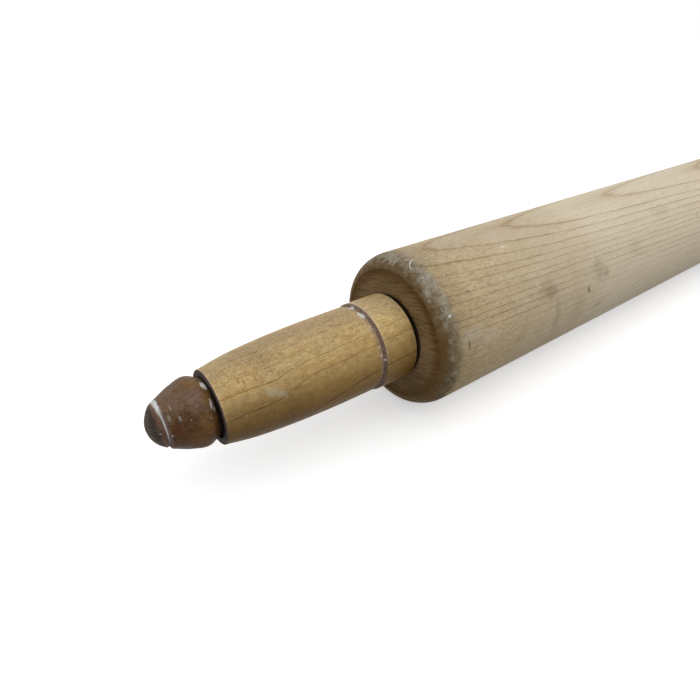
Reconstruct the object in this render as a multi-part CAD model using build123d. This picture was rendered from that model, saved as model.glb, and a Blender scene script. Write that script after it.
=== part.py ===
from build123d import *
import os

# A handled rolling pin. Its long axis is X, and the origin is the middle of the barrel on that axis.
# One steel rod runs right through the barrel and both handles, and all three turn on it.
# A dark wooden button at each end of the rod keeps the handle on.
# Every length is in millimetres. A station is a distance outwards from the barrel's end face.

# Barrel
barrel_length = 381.0
barrel_radius = 35.0
edge_drop = 5.4
edge_run = 9.0
face_step = 0.35
face_step_width = 0.5
bore_clearance = 1.0

# Rod
rod_radius = 5.0
thread_radius = 4.0
thread_chamfer = 0.8

# Fits
running_clearance = 0.08
side_play = 0.2
hole_clearance = 0.1
cut_overrun = 1.0

# Flanged bush, pressed into each end of the barrel
bush_wall = 4.0
bush_depth = 25.0
flange_width = 4.0
flange_thickness = 1.8

# Handle
handle_length = 82.7
collar_radius = 19.2
collar_length = 15.6
grip_radius = 18.6
handle_end_radius = 14.4
handle_inner_edge = 0.5
handle_outer_edge = 0.4
groove_width = 3.1
groove_depth = 0.9
groove_bottom_share = 0.35
recess_radius = 11.7
recess_depth = 5.0
# Where the grip's outline passes, as (share of its length, share of its drop in radius).
grip_curve_shares = ((0.30, 0.04), (0.60, 0.23), (0.85, 0.59))

# Washer that the handle runs against at its outer end
washer_thickness = 1.6
washer_rim_clearance = 0.9

# Threaded insert, glued into the button
insert_wall = 2.2
insert_length = 12.5
insert_flange_width = 1.8
insert_flange_thickness = 1.0
thread_end_margin = 1.0

# Button
button_reach = 22.8
button_radius = 13.1
button_back_radius = 10.9
button_back_gap = 0.2
neck_radius = 10.3
ring_radius = 9.1
ring_width = 1.4
ring_step = 1.5
nose_lip = 0.4
widest_share = 0.20
ring_share = 0.715
# Where the button's outline passes between its widest circle and the cut ring, as
# (share of that length, share of that drop in radius).
button_curve_share = (0.50, 0.33)

# Stations and radii that follow from the sizes above
barrel_end = barrel_length / 2
running_radius = rod_radius + running_clearance
bush_radius = running_radius + bush_wall
flange_radius = bush_radius + flange_width
handle_start = flange_thickness + side_play
handle_stop = handle_start + handle_length
recess_floor = handle_stop - recess_depth
rod_shoulder = recess_floor + side_play
washer_face = rod_shoulder + washer_thickness
insert_stop = washer_face + insert_length
thread_stop = insert_stop - thread_end_margin
insert_radius = thread_radius + insert_wall
button_back = handle_stop + button_back_gap
button_stop = handle_stop + button_reach


def at(station, radius):
    """A point of a half outline at the +X end: outwards from the barrel's face, and off the axis."""
    return (barrel_end + station, radius)


def turned(*edges):
    """The solid turned on the X axis from the edges of one closed half outline."""
    return revolve(make_face(Curve() + list(edges)), Axis.X)


def ring(inner_radius, outer_radius, start, stop):
    """A plain ring, tube or disc between two stations at the +X end."""
    inner_edge = (at(start, inner_radius), at(stop, inner_radius))
    outer_edge = (at(stop, outer_radius), at(start, outer_radius))
    return turned(Polyline(*inner_edge, *outer_edge, close=True))


def other_end(piece):
    """The same piece at the -X end."""
    return piece.rotate(Axis.Z, 180)


def make_barrel():
    """The roller: a cylinder with rounded ends, where each end face lies a hair inside its rim."""
    face_radius = barrel_radius - edge_drop
    round_start = barrel_end - edge_run
    face = barrel_end - face_step
    half = turned(
        Polyline(
            (round_start, barrel_radius),
            (0, barrel_radius),
            (0, 0),
            (face, 0),
            (face, face_radius - face_step_width),
            (barrel_end, face_radius),
        ),
        EllipticalCenterArc((round_start, face_radius), edge_run, edge_drop, arc_size=90),
    )
    seat = ring(0, bush_radius, -bush_depth, cut_overrun)
    bore = Cylinder(rod_radius + bore_clearance, barrel_length, rotation=(0, 90, 0))
    return half + other_end(half) - seat - other_end(seat) - bore


def make_bush():
    """The metal bush that the rod runs in: a sleeve in the barrel, and a flange that the handle meets."""
    sleeve = ring(running_radius, bush_radius, -bush_depth, flange_thickness)
    flange = ring(running_radius, flange_radius, -face_step, flange_thickness)
    return sleeve + flange


def make_rod():
    """One rod from button to button, with a shoulder and a thread at each end."""
    half = turned(
        Polyline(
            (0, 0),
            at(thread_stop, 0),
            at(thread_stop, thread_radius - thread_chamfer),
            at(thread_stop - thread_chamfer, thread_radius),
            at(rod_shoulder, thread_radius),
            at(rod_shoulder, rod_radius),
            (0, rod_radius),
            close=True,
        )
    )
    return half + other_end(half)


def make_handle():
    """A turned grip: a straight collar by the barrel, a cut groove, then a long curve to the outer end."""
    groove_start = handle_start + collar_length
    groove_stop = groove_start + groove_width
    grip_stop = handle_stop - handle_outer_edge
    curve_points = [
        at(
            groove_stop + along * (grip_stop - groove_stop),
            grip_radius - down * (grip_radius - handle_end_radius),
        )
        for along, down in grip_curve_shares
    ]
    solid = turned(
        Spline(at(groove_stop, grip_radius), *curve_points, at(grip_stop, handle_end_radius)),
        Polyline(
            at(grip_stop, handle_end_radius),
            at(handle_stop, handle_end_radius - handle_outer_edge),
            at(handle_stop, 0),
            at(handle_start, 0),
            at(handle_start, collar_radius - handle_inner_edge),
            at(handle_start + handle_inner_edge, collar_radius),
            at(groove_start, collar_radius),
            at(groove_start + groove_bottom_share * groove_width, grip_radius - groove_depth),
            at(groove_stop, grip_radius),
        ),
    )
    bore = ring(0, running_radius, handle_start - cut_overrun, handle_stop)
    recess = ring(0, recess_radius, recess_floor, handle_stop + cut_overrun)
    return solid - bore - recess


def make_washer():
    """The washer against the rod's shoulder, inside the recess in the handle's end."""
    rim_radius = recess_radius - washer_rim_clearance
    return ring(thread_radius + hole_clearance, rim_radius, rod_shoulder, washer_face)


def insert_shape(inner_radius):
    """The insert's turned shape: a body with a lip at its inner end. It is solid if the radius is zero."""
    lip_stop = washer_face + insert_flange_thickness
    body = ring(inner_radius, insert_radius, washer_face, insert_stop)
    lip = ring(inner_radius, insert_radius + insert_flange_width, washer_face, lip_stop)
    return body + lip


def make_insert():
    """The metal insert that screws onto the rod's end."""
    return insert_shape(thread_radius)


def make_button():
    """The acorn-shaped end button: a neck in the handle's recess, a full body, a cut ring and a nose."""
    widest = button_back + widest_share * button_reach
    ring_start = button_back + ring_share * button_reach
    ring_stop = ring_start + ring_width
    ring_floor_radius = ring_radius - ring_step
    nose = at(ring_stop, ring_floor_radius + nose_lip)
    along, down = button_curve_share
    shoulder = at(
        widest + along * (ring_start - widest),
        button_radius - down * (button_radius - ring_radius),
    )
    solid = turned(
        Spline(
            at(button_back, button_back_radius),
            at(widest, button_radius),
            shoulder,
            at(ring_start, ring_radius),
        ),
        Polyline(at(ring_start, ring_radius), at(ring_start + ring_width / 2, ring_floor_radius), nose),
        TangentArc(at(button_stop, 0), nose, tangent=(0, 1)),
        Polyline(
            at(button_stop, 0),
            at(washer_face, 0),
            at(washer_face, neck_radius),
            at(button_back, neck_radius),
            at(button_back, button_back_radius),
        ),
    )
    return solid - insert_shape(0)


def make_all():
    """Every piece of the pin, by name."""
    pieces = {"barrel": make_barrel(), "axle_rod": make_rod()}
    made_for_each_end = {
        "barrel_bush": make_bush(),
        "handle": make_handle(),
        "end_washer": make_washer(),
        "button_insert": make_insert(),
        "end_button": make_button(),
    }
    for name, piece in made_for_each_end.items():
        pieces["right_" + name] = piece
        pieces["left_" + name] = other_end(piece)
    return pieces


os.makedirs("parts", exist_ok=True)
for name, piece in make_all().items():
    export_step(piece, f"parts/{name}.step")
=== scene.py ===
# %% [markdown]
# # A used rolling pin, turned and finished
#
# The packed model already holds every piece at its real size, so this file only gives it looks. It
# loads that model, turns finer copies of the wooden pieces, builds their finishes and lights them.
# All sizes are in metres. The pin's long axis is X, and the middle of the barrel is the origin.

import math

import bmesh
import bpy
import numpy as np
from mathutils import Matrix, Vector


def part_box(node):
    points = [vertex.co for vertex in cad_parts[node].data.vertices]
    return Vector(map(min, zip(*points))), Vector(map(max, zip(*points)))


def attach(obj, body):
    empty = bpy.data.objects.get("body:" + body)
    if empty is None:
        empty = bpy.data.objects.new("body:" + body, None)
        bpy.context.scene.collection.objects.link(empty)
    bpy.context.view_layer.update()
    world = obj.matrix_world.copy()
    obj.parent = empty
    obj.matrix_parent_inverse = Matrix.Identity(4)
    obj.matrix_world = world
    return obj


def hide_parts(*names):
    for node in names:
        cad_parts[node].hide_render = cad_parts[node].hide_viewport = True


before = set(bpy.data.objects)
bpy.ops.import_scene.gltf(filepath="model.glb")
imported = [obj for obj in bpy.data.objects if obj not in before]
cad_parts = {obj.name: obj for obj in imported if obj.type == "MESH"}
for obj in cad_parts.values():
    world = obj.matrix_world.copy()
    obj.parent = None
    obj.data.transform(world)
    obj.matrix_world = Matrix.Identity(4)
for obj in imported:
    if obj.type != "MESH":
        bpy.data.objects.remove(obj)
show = bpy.context.scene.collection.objects.link
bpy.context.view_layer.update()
MM = 0.001
print("nodes:", ", ".join(sorted(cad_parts)))

# %% [markdown]
# ## Sizes
#
# What the model already fixes is read from it: where the barrel ends, how thick each piece is and how
# far it reaches. Only the small forms that a box can't tell, such as how the barrel's edge rounds over,
# are written here. A station is a distance outwards from the barrel's end face, so it is negative on
# the barrel and positive on the handle and button.

# %% Sizes read from the model


def reach(node):
    """The node's first station, last station and largest radius, at the right-hand end."""
    low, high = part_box(node)
    return low[0] - barrel_end, high[0] - barrel_end, high[2]


barrel_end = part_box("barrel")[1][0]
barrel_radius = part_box("barrel")[1][2]
floor_height = -barrel_radius
handle_start, handle_stop, collar_radius = reach("right_handle")
button_base, button_stop, button_radius = reach("right_end_button")
print(f"barrel {2 * barrel_end / MM:.1f} mm long, handle {(handle_stop - handle_start) / MM:.1f} mm")

# %% [markdown]
# ## Sums in node trees
#
# A shape that follows a rule and a finish are both trees of nodes, and both are mostly arithmetic. As
# separate nodes that is hard to read, so one small class wraps a socket and lets it take part in ordinary
# sums. Every other node comes from one method, which sets the node up before its sockets.

# %% A socket that does sums


class Value:
    """A node's output that can be added, multiplied and compared like a number."""

    def __init__(self, tree, socket):
        self.tree, self.socket = tree, socket

    def maths(self, operation, *others):
        return self.tree.node("ShaderNodeMath", {"operation": operation}, dict(enumerate((self, *others))))

    def output(self, name):
        """Another output of the same node."""
        return Value(self.tree, self.socket.node.outputs[name])

    def __add__(self, other):
        return self.maths("ADD", other)

    def __sub__(self, other):
        return self.maths("SUBTRACT", other)

    def __mul__(self, other):
        return self.maths("MULTIPLY", other)

    def __truediv__(self, other):
        return self.maths("DIVIDE", other)

    def __rsub__(self, other):
        return self * -1.0 + other

    __radd__ = __add__
    __rmul__ = __mul__

    def ramp(self, low, high):
        """0 below low, 1 above high, and a soft climb between. It falls where low is above high."""
        limits = {"Value": self, "From Min": min(low, high), "From Max": max(low, high)}
        if low > high:
            limits.update({"To Min": 1.0, "To Max": 0.0})
        return self.tree.node("ShaderNodeMapRange", {"interpolation_type": "SMOOTHSTEP"}, limits)

    def within(self, low, high, soft):
        """1 between two limits, 0 outside them."""
        return self.ramp(low - soft, low + soft) * self.ramp(high + soft, high - soft)


class Tree:
    """A node tree under construction."""

    def __init__(self, empty):
        self.tree = empty
        self.tree.nodes.clear()

    def node(self, kind, settings=None, values=None, output=0):
        """Adds a node: its settings first, then the numbers or links of its sockets. Returns one output."""
        made = self.tree.nodes.new(kind)
        for key, value in (settings or {}).items():
            if key == "points":
                self.set_curve(made.mapping, value)
            else:
                setattr(made, key, value)
        for key, value in (values or {}).items():
            if isinstance(value, Value):
                self.tree.links.new(value.socket, made.inputs[key])
            else:
                made.inputs[key].default_value = value
        return Value(self, made.outputs[output]) if made.outputs else made

    @staticmethod
    def set_curve(mapping, points):
        """Straight runs through the points of a curve that goes from 0 to 1."""
        curve = mapping.curves[0]
        for place in points[1:-1]:
            curve.points.new(*place)
        curve.points[0].location = points[0]
        curve.points[-1].location = points[-1]
        for point in curve.points:
            point.handle_type = "VECTOR"
        mapping.update()


print("a value can be followed by", ", ".join(name for name in vars(Value) if not name.startswith("__")))

# %% [markdown]
# ## Turning a piece
#
# Everything wooden here came off a lathe, so its shape follows one rule: a half outline, turned about
# the long axis. Blender's Screw modifier could do it, but a Geometry Nodes tree also carries the small
# unevenness of worn wood and keeps its sizes as named inputs. The object holds only the outline's
# points. The tree lays a grid with one row for each point and bends it into rings, then merges the rows
# where they meet, so seams and poles are closed.

# %% The tree that turns an outline


def turning_tree():
    """A tree that turns the points of its input about X, with a little unevenness in the surface."""
    group = bpy.data.node_groups.new("turned_piece", "GeometryNodeTree")
    inputs = {
        "Outline": ("Geometry", None),
        "Steps round": ("Int", 256),
        "Unevenness": ("Float", 0.0),
        "Unevenness per metre": ("Float", 60.0),
        "Seed": ("Int", 1),
        "Crisp angle": ("Float", math.radians(32)),
        "Finish": ("Material", None),
    }
    for name, (kind, value) in inputs.items():
        socket = group.interface.new_socket(name, in_out="INPUT", socket_type="NodeSocket" + kind)
        if value is not None:
            socket.default_value = value
    group.interface.new_socket("Piece", in_out="OUTPUT", socket_type="NodeSocketGeometry")
    tree = Tree(group)
    given = tree.node("NodeGroupInput").output
    index, place = tree.node("GeometryNodeInputIndex"), tree.node("GeometryNodeInputPosition")

    settings, values = {"component": "MESH"}, {0: given("Outline")}
    rows = tree.node("GeometryNodeAttributeDomainSize", settings, values, "Point Count")
    columns = given("Steps round") + 1.0
    grid = tree.node("GeometryNodeMeshGrid", None, {"Vertices X": rows, "Vertices Y": columns})
    row = (index / columns).maths("FLOOR")
    angle = (index - row * columns) / given("Steps round") * (2 * math.pi)
    settings = {"data_type": "FLOAT_VECTOR", "domain": "POINT"}
    values = {"Geometry": given("Outline"), "Value": place, "Index": row}
    point = tree.node("GeometryNodeSampleIndex", settings, values)
    x = tree.node("ShaderNodeSeparateXYZ", None, {0: point}, "X")
    radius = x.output("Y")
    values = {0: x, 1: radius * angle.maths("COSINE"), 2: radius * angle.maths("SINE")}
    values = {"Geometry": grid, "Position": tree.node("ShaderNodeCombineXYZ", None, values)}
    turned = tree.node("GeometryNodeSetPosition", None, values)
    closed = tree.node("GeometryNodeMergeByDistance", None, {"Geometry": turned, "Distance": 0.002 * MM})

    values = {"Vector": place, "W": given("Seed"), "Scale": given("Unevenness per metre"), "Detail": 2.0}
    noise = tree.node("ShaderNodeTexNoise", {"noise_dimensions": "4D"}, values, "Fac")
    values = {0: tree.node("GeometryNodeInputNormal"), "Scale": (noise - 0.85) * given("Unevenness")}
    offset = tree.node("ShaderNodeVectorMath", {"operation": "SCALE"}, values)
    worn = tree.node("GeometryNodeSetPosition", None, {"Geometry": closed, "Offset": offset})
    edge_angle = tree.node("GeometryNodeInputMeshEdgeAngle", output="Unsigned Angle")
    settings = {"data_type": "FLOAT", "operation": "LESS_THAN"}
    soft_edges = tree.node("FunctionNodeCompare", settings, {0: edge_angle, 1: given("Crisp angle")})
    values = {"Geometry": worn, "Shade Smooth": soft_edges}
    smooth = tree.node("GeometryNodeSetShadeSmooth", {"domain": "EDGE"}, values)
    realized = tree.node("GeometryNodeRealizeInstances", None, {0: smooth})
    values = {"Geometry": realized, "Material": given("Finish")}
    tree.node("NodeGroupOutput", None, {0: tree.node("GeometryNodeSetMaterial", None, values)})
    return group


turning = turning_tree()
print("turning tree:", len(turning.nodes), "nodes")

# %% [markdown]
# The outline goes in as a plain mesh of points, the tree does the turning, and the result is kept as a
# plain mesh, so nothing depends on the modifier afterwards. The outline is always walked the same way
# round, so that the faces point outwards. The volume shows it: it would be negative otherwise.

# %% Turn an outline into a finished piece


def volume_of(mesh):
    """The signed volume inside a closed mesh."""
    solid = bmesh.new()
    solid.from_mesh(mesh)
    volume = solid.calc_volume(signed=True)
    solid.free()
    return volume


def turn(name, outline, finish, steps_round, unevenness, seed, closed=False):
    """Turns a half outline of (x, radius) points about X. A closed one joins its last point to its first."""
    points = list(outline)
    across = np.array(points)
    after = np.roll(across, -1, axis=0)
    if (across[:, 0] * after[:, 1] - after[:, 0] * across[:, 1]).sum() < 0:
        points.reverse()
    if closed:
        points.append(points[0])
    blank = bpy.data.meshes.new(name + "_outline")
    blank.from_pydata([(x, radius, 0.0) for x, radius in points], [], [])
    lathe = bpy.data.objects.new(name + "_outline", blank)
    show(lathe)
    modifier = lathe.modifiers.new("turning", "NODES")
    modifier.node_group = turning
    sockets = {item.name: item.identifier for item in turning.interface.items_tree if item.in_out == "INPUT"}
    settings = {"Steps round": steps_round, "Unevenness": unevenness, "Seed": seed, "Finish": finish}
    for key, value in settings.items():
        modifier[sockets[key]] = value
    bpy.context.view_layer.update()
    seen = lathe.evaluated_get(bpy.context.evaluated_depsgraph_get())
    mesh = bpy.data.meshes.new_from_object(seen)
    bpy.data.objects.remove(lathe)
    bpy.data.meshes.remove(blank)
    mesh.name = name
    piece = bpy.data.objects.new(name, mesh)
    show(piece)
    print(f"{name}: {len(mesh.polygons)} faces, {volume_of(mesh) * 1e6:.1f} cubic centimetres")
    return piece


def curve_through(points, steps):
    """A smooth curve through a few points, each leaving in the direction of its neighbours."""
    at = np.array(points)
    span = np.linalg.norm(np.diff(at, axis=0), axis=1)
    slope = np.gradient(at, np.concatenate([[0.0], np.cumsum(span)]), axis=0)
    curve = []
    for i, length in enumerate(span):
        t = np.linspace(0, 1, steps, endpoint=i == len(span) - 1)[:, None]
        curve += list(
            (1 + 2 * t) * (1 - t) ** 2 * at[i]
            + t * (1 - t) ** 2 * length * slope[i]
            + t * t * (3 - 2 * t) * at[i + 1]
            + t * t * (t - 1) * length * slope[i + 1]
        )
    return [tuple(point) for point in curve]


def mirrored(outline, side):
    """The outline at the right-hand end (side 1) or the left-hand end (side -1)."""
    return [(side * x, radius) for x, radius in outline]


def worn_outline(rows):
    """The outline through rows of (station, radius) in millimetres. Two more numbers in a row say how far
    that corner is worn back on each side, and four points in small steps take its place."""
    points = []
    for i, row in enumerate(rows):
        if len(row) == 2:
            points.append(row)
            continue
        before, here, after = (Vector(rows[j][:2]) for j in (i - 1, i, i + 1))
        start = here + (before - here).normalized() * row[2]
        stop = here + (after - here).normalized() * row[3]
        points += [(1 - t) ** 2 * start + 2 * t * (1 - t) * here + t * t * stop for t in (0, 0.33, 0.67, 1)]
    return [(barrel_end + station * MM, radius * MM) for station, radius in points]


# %% [markdown]
# ## Finishes
#
# A finish is laid on as a maker would: a ground colour, then layers over it, each with the share of the
# surface that it covers. Paint hides what is below it, and a stain tints it. Painting the colours by hand
# on an unwrapped piece would work too, but a rule has no seams and no limit to its detail.

# %% A finish in layers
TINT = "MULTIPLY"


class Finish(Tree):
    """A material under construction."""

    def __init__(self, name):
        self.material = bpy.data.materials.new(name)
        self.material.use_nodes = True
        super().__init__(self.material.node_tree)

    def vector(self, operation, *values, output="Vector"):
        """A sum of vectors. Length and dot product come out as the plain number called Value."""
        return self.node("ShaderNodeVectorMath", {"operation": operation}, dict(enumerate(values)), output)

    def place(self, scale=(1.0, 1.0, 1.0)):
        """The point's own place on the pin, in millimetres, stretched by a scale for each axis."""
        objects = self.node("ShaderNodeTexCoord", output="Object")
        stretch = tuple(value / MM for value in scale)
        return self.vector("MULTIPLY", objects, stretch)

    def noise(self, per_mm, detail=2.0, roughness=0.5, seed=0.0, stretch=(1.0, 1.0, 1.0)):
        """Noise from about 0 to 1, with so many bumps a millimetre along each axis."""
        scale = tuple(per_mm * value for value in stretch)
        values = {"Vector": self.place(scale), "Scale": 1.0, "W": seed}
        values.update({"Detail": detail, "Roughness": roughness})
        return self.node("ShaderNodeTexNoise", {"noise_dimensions": "4D"}, values)

    def noise_at(self, *place):
        """Noise at a place that is made from two or three numbers."""
        place = self.node("ShaderNodeCombineXYZ", None, dict(enumerate(place)))
        return self.node("ShaderNodeTexNoise", {"noise_dimensions": "3D"}, {"Vector": place, "Scale": 1.0})

    def mix(self, share, first, second, blend="MIX"):
        """A colour between two others. Either may be a fixed colour of three numbers."""
        colours = {}
        for key, value in ((6, first), (7, second)):
            colours[key] = value if isinstance(value, Value) else (*value, 1.0)
        settings = {"data_type": "RGBA", "blend_type": blend}
        return self.node("ShaderNodeMix", settings, {0: share, **colours}, output=2)

    def layers(self, colour, *rows):
        """Lays tones over a colour, in order. Each is (share, tone), or (share, tone, TINT) for a stain."""
        for share, tone, *blend in rows:
            colour = self.mix(share, colour, tone, *blend)
        return colour

    def surface(self, colour, roughness, height, depth, **fixed):
        """Finishes the material: colour and roughness, and a relief that is so many metres deep."""
        relief = self.node("ShaderNodeBump", None, {"Strength": 1.0, "Distance": depth, "Height": height})
        values = {"Base Color": colour, "Roughness": roughness, "Normal": relief}
        values.update({key.replace("_", " "): value for key, value in fixed.items()})
        shader = self.node("ShaderNodeBsdfPrincipled", None, values)
        self.node("ShaderNodeOutputMaterial", None, {"Surface": shader})
        return self.material


print("steps of a finish:", ", ".join(name for name in vars(Finish) if not name.startswith("__")))

# %% [markdown]
# ## Where a mark sits
#
# Marks of use are listed, as a maker would chalk them: how far from the barrel's end, and how
# far round. Angles are in degrees, 90 at the top and 180 at the side that faces the baker. The seam of
# the angle is turned to the hidden back, where no mark crosses it. For the marks the surface is laid flat:
# the station runs one way and the arc the other, so a blot is an ellipse and a scratch a straight line.

# %% Stations, angles and marks
FACING = 140.0


class Pin:
    """What every finish needs to know about the point that it colours."""

    def __init__(self, finish, side, seed, girth, centre=(0.0, 0.0)):
        self.finish, self.girth = finish, girth
        parts = finish.node("ShaderNodeSeparateXYZ", None, {0: finish.place()}, output="X")
        self.x, self.y, self.z = parts, parts.output("Y") - centre[0], parts.output("Z") - centre[1]
        self.station = self.x * side - barrel_end / MM
        self.radius = (self.y * self.y + self.z * self.z).maths("SQRT")
        self.sine = self.z / self.radius
        towards, aside = self.turned_to(FACING), self.turned_to(FACING + 90.0)
        self.angle = aside.maths("ARCTAN2", towards) * math.degrees(1.0) + FACING
        arc = self.angle * (math.radians(1.0) * girth)
        self.flat = finish.node("ShaderNodeCombineXYZ", None, {0: self.station, 1: arc})
        self.coarse = finish.noise(0.12, 3, 0.6, seed, (0.7, 1, 1))
        self.medium = finish.noise(0.42, 3, 0.6, seed + 1, (0.7, 1, 1))
        self.fine = finish.noise(1.5, 3, 0.65, seed + 2)
        self.grain = finish.noise(1.15, 3, 0.65, seed + 3, (0.3, 1, 1))

    def turned_to(self, degrees):
        """How far the point lies from the axis in one direction."""
        return self.y * math.cos(math.radians(degrees)) + self.z * math.sin(math.radians(degrees))

    def flat_place(self, station, angle):
        return Vector((station, math.radians(angle) * self.girth, 0.0))

    def mark(self, station, angle, half_length, half_width, fray=None, soft=0.3):
        """An oval blot. Its half sizes are in millimetres, and fray moves its edge."""
        size = Vector((1.0 / half_length, 1.0 / half_width, 0.0))
        middle = self.flat_place(station, angle) * size
        unit_circle = self.finish.vector("MULTIPLY_ADD", self.flat, size, -middle)
        distance = self.finish.vector("LENGTH", unit_circle, output="Value")
        if fray is not None:
            distance = distance + fray
        return distance.ramp(1.0 + soft, 1.0 - soft)

    def marks(self, places, ragged=0.0, rough=None, soft=0.3):
        """The strongest of several blots, each (station, angle, half length, half width, strength)."""
        fray = None if rough is None else (rough - 0.5) * ragged
        blots = [self.mark(*place[:4], fray, soft) * place[4] for place in places]
        return self.strongest(blots)

    def scratches(self, lines):
        """Fine lines, each (station, angle, last station, last angle, half width, strength)."""
        drawn = []
        for station, angle, last_station, last_angle, half_width, strength in lines:
            start = self.flat_place(station, angle)
            run = self.flat_place(last_station, last_angle) - start
            away = self.finish.vector("SUBTRACT", self.flat, start)
            share = self.finish.vector("DOT_PRODUCT", away, run / run.length_squared, output="Value")
            share = share.maths("MAXIMUM", 0.0).maths("MINIMUM", 1.0)
            values = {0: run, "Scale": share}
            nearest = self.finish.node("ShaderNodeVectorMath", {"operation": "SCALE"}, values)
            aside = self.finish.vector("SUBTRACT", away, nearest)
            distance = self.finish.vector("LENGTH", aside, output="Value")
            drawn.append(distance.ramp(half_width * 1.7, half_width * 0.6) * strength)
        return self.strongest(drawn)

    @staticmethod
    def strongest(values):
        total = values[0]
        for value in values[1:]:
            total = total.maths("MAXIMUM", value)
        return total


print("angles face", FACING, "degrees")

# %% [markdown]
# ## Growth rings
#
# Each piece is cut from a board, so its rings are nearly flat sheets through the wood. They show as long
# lines where they meet the side, as loops where they only graze it, and as straight lines on the end.
# One solid pattern gives all three, so nothing has to line up by hand. The widths of the years are
# listed, because real ones are uneven, and the sheets lean and wander a little on their way.

# %% Rings in the wood


def rings(finish, depth, places, line_mm):
    """The lines where years end and the late wood before them, from the depth through the wood."""
    edges = np.array(places, dtype=float)
    span = float(edges[-1] - edges[0])
    points = [(float(x), i / (len(edges) - 1)) for i, x in enumerate((edges - edges[0]) / span)]
    spread = (depth - float(edges[0])) / span
    year = finish.node("ShaderNodeFloatCurve", {"points": points}, {"Value": spread}) * float(len(edges) - 1)
    part = year.maths("FRACT")
    from_line = 0.5 - (part - 0.5).maths("ABSOLUTE")
    return from_line.ramp(line_mm / float(np.mean(np.diff(edges))), 0.0), part.ramp(0.3, 1.0)


print("rings are ready")

# %% [markdown]
# ## The barrel's finish
#
# The barrel is bare maple, washed pale by years of use. Its board was cut so that the rings graze the
# top, where they make long loops, and run down the near side as fine lines. At each end a hand's width
# is warmer in tone. A picture of wood could not follow the rounding onto the end grain without a seam, so
# all of it is a solid pattern.

# %% Growth rings of the barrel
BARREL_RINGS = [-47, -44, -41, -38, -34.5, -31, -28, -24.6, -21.3, -18.4, -15, -12, -8.6, -5.5, -2.3, 0.8]
BARREL_RINGS += [4.4, 8.0, 10.9, 13.9, 17.7, 20.2, 23.2, 25.7, 28.9, 32.4, 35.6, 39.9, 44, 48, 52.5, 57]


def barrel_rings(finish, pin):
    """Sheets that bow across the barrel, climb slowly along it and bend up towards the near end."""
    along = pin.x + barrel_end / MM
    height, across = pin.turned_to(88.0), pin.turned_to(-2.0)
    depth = height + along * 0.038 - across * across * 0.006
    depth = depth - along.ramp(120, -30) * height.ramp(19, 34) * 4.5
    depth = depth - pin.y.ramp(-12, 12) * along.ramp(30, 90) * 2.0
    depth = depth + (finish.noise(0.05, 2, 0.5, 3.0, (0.5, 1, 1)) - 0.5) * 0.8
    depth = depth + (finish.noise(0.5, 2, 0.6, 4.0, (0.35, 1, 1)) - 0.5) * 0.7
    return rings(finish, depth, BARREL_RINGS, 0.33)


print("barrel:", len(BARREL_RINGS), "ring edges")

# %% Marks on the barrel
GREY_STAINS = [
    (-62.5, 153, 4.4, 3.4, 0.5), (-66, 156.5, 4.4, 3.6, 0.75), (-105.5, 154, 4.2, 4.4, 0.6),
    (-107, 161, 4, 3, 0.45), (-111, 160.5, 2.4, 3.2, 0.75), (-116, 146, 5, 3, 0.15),
    (-108, 187, 2.4, 1.6, 0.7), (-104.5, 190, 1.4, 1, 0.5), (-71.5, 180, 2.2, 9, 0.55),
    (-70.5, 163, 1.6, 3, 0.35), (-31, 134.5, 1, 0.9, 0.6), (-75, 122, 1.6, 1.2, 0.35),
    (-88, 178, 5, 3, 0.2), (-46, 181, 5.5, 3.4, 0.2), (-44, 184, 2.2, 1.6, 0.3), (-140, 150, 6, 3.4, 0.3),
    (-176, 128, 8, 4, 0.3), (-225, 165, 8, 4, 0.35), (-262, 100, 6, 3, 0.3), (-301, 140, 5, 5, 0.35),
    (-338, 200, 7, 4, 0.4), (-120, 250, 9, 5, 0.35), (-205, 290, 8, 4, 0.35), (-60, 10, 6, 4, 0.35),
]
PALE_SMEARS = [
    (-14, 162, 7, 3.2, 0.9), (-24, 168, 7, 3, 0.7), (-72.5, 160, 1.5, 7, 0.6), (-74, 171, 1, 6, 0.4),
    (-143, 92, 9, 5, 0.4), (-73, 103, 2.2, 0.5, 0.8), (-62, 96, 7, 2.4, 0.5), (-52, 98, 6, 3, 0.4),
    (-33, 80, 5, 2.6, 0.5), (-240, 120, 10, 3, 0.4), (-300, 80, 8, 3, 0.4),
]
DARK_TICKS = [
    (-11.6, 167.5, 0.5, 1.7, 1), (-95.7, 168, 0.8, 1.6, 1), (-97.2, 170, 0.7, 1, 0.5),
    (-18, 134, 1.6, 0.3, 0.6), (-212, 145, 0.4, 2, 0.7), (-287, 171, 0.4, 1.5, 0.7),
]
WHITE_SPECKS = [
    (-24, 107, 0.6, 0.4, 0.5), (-51.5, 111.5, 1.2, 0.5, 0.75), (-53.5, 113, 0.5, 0.5, 0.6),
    (-50, 114.5, 0.6, 0.4, 0.4), (-39, 121.5, 0.8, 0.6, 0.45), (-5, 144.5, 0.7, 0.6, 0.9),
    (-12, 118, 0.5, 0.4, 0.45), (-9, 108, 0.4, 0.4, 0.4), (-17, 112, 0.4, 0.3, 0.35),
    (-190, 111, 1.1, 0.8, 0.5), (-318, 96, 0.9, 0.9, 0.6),
]
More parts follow.
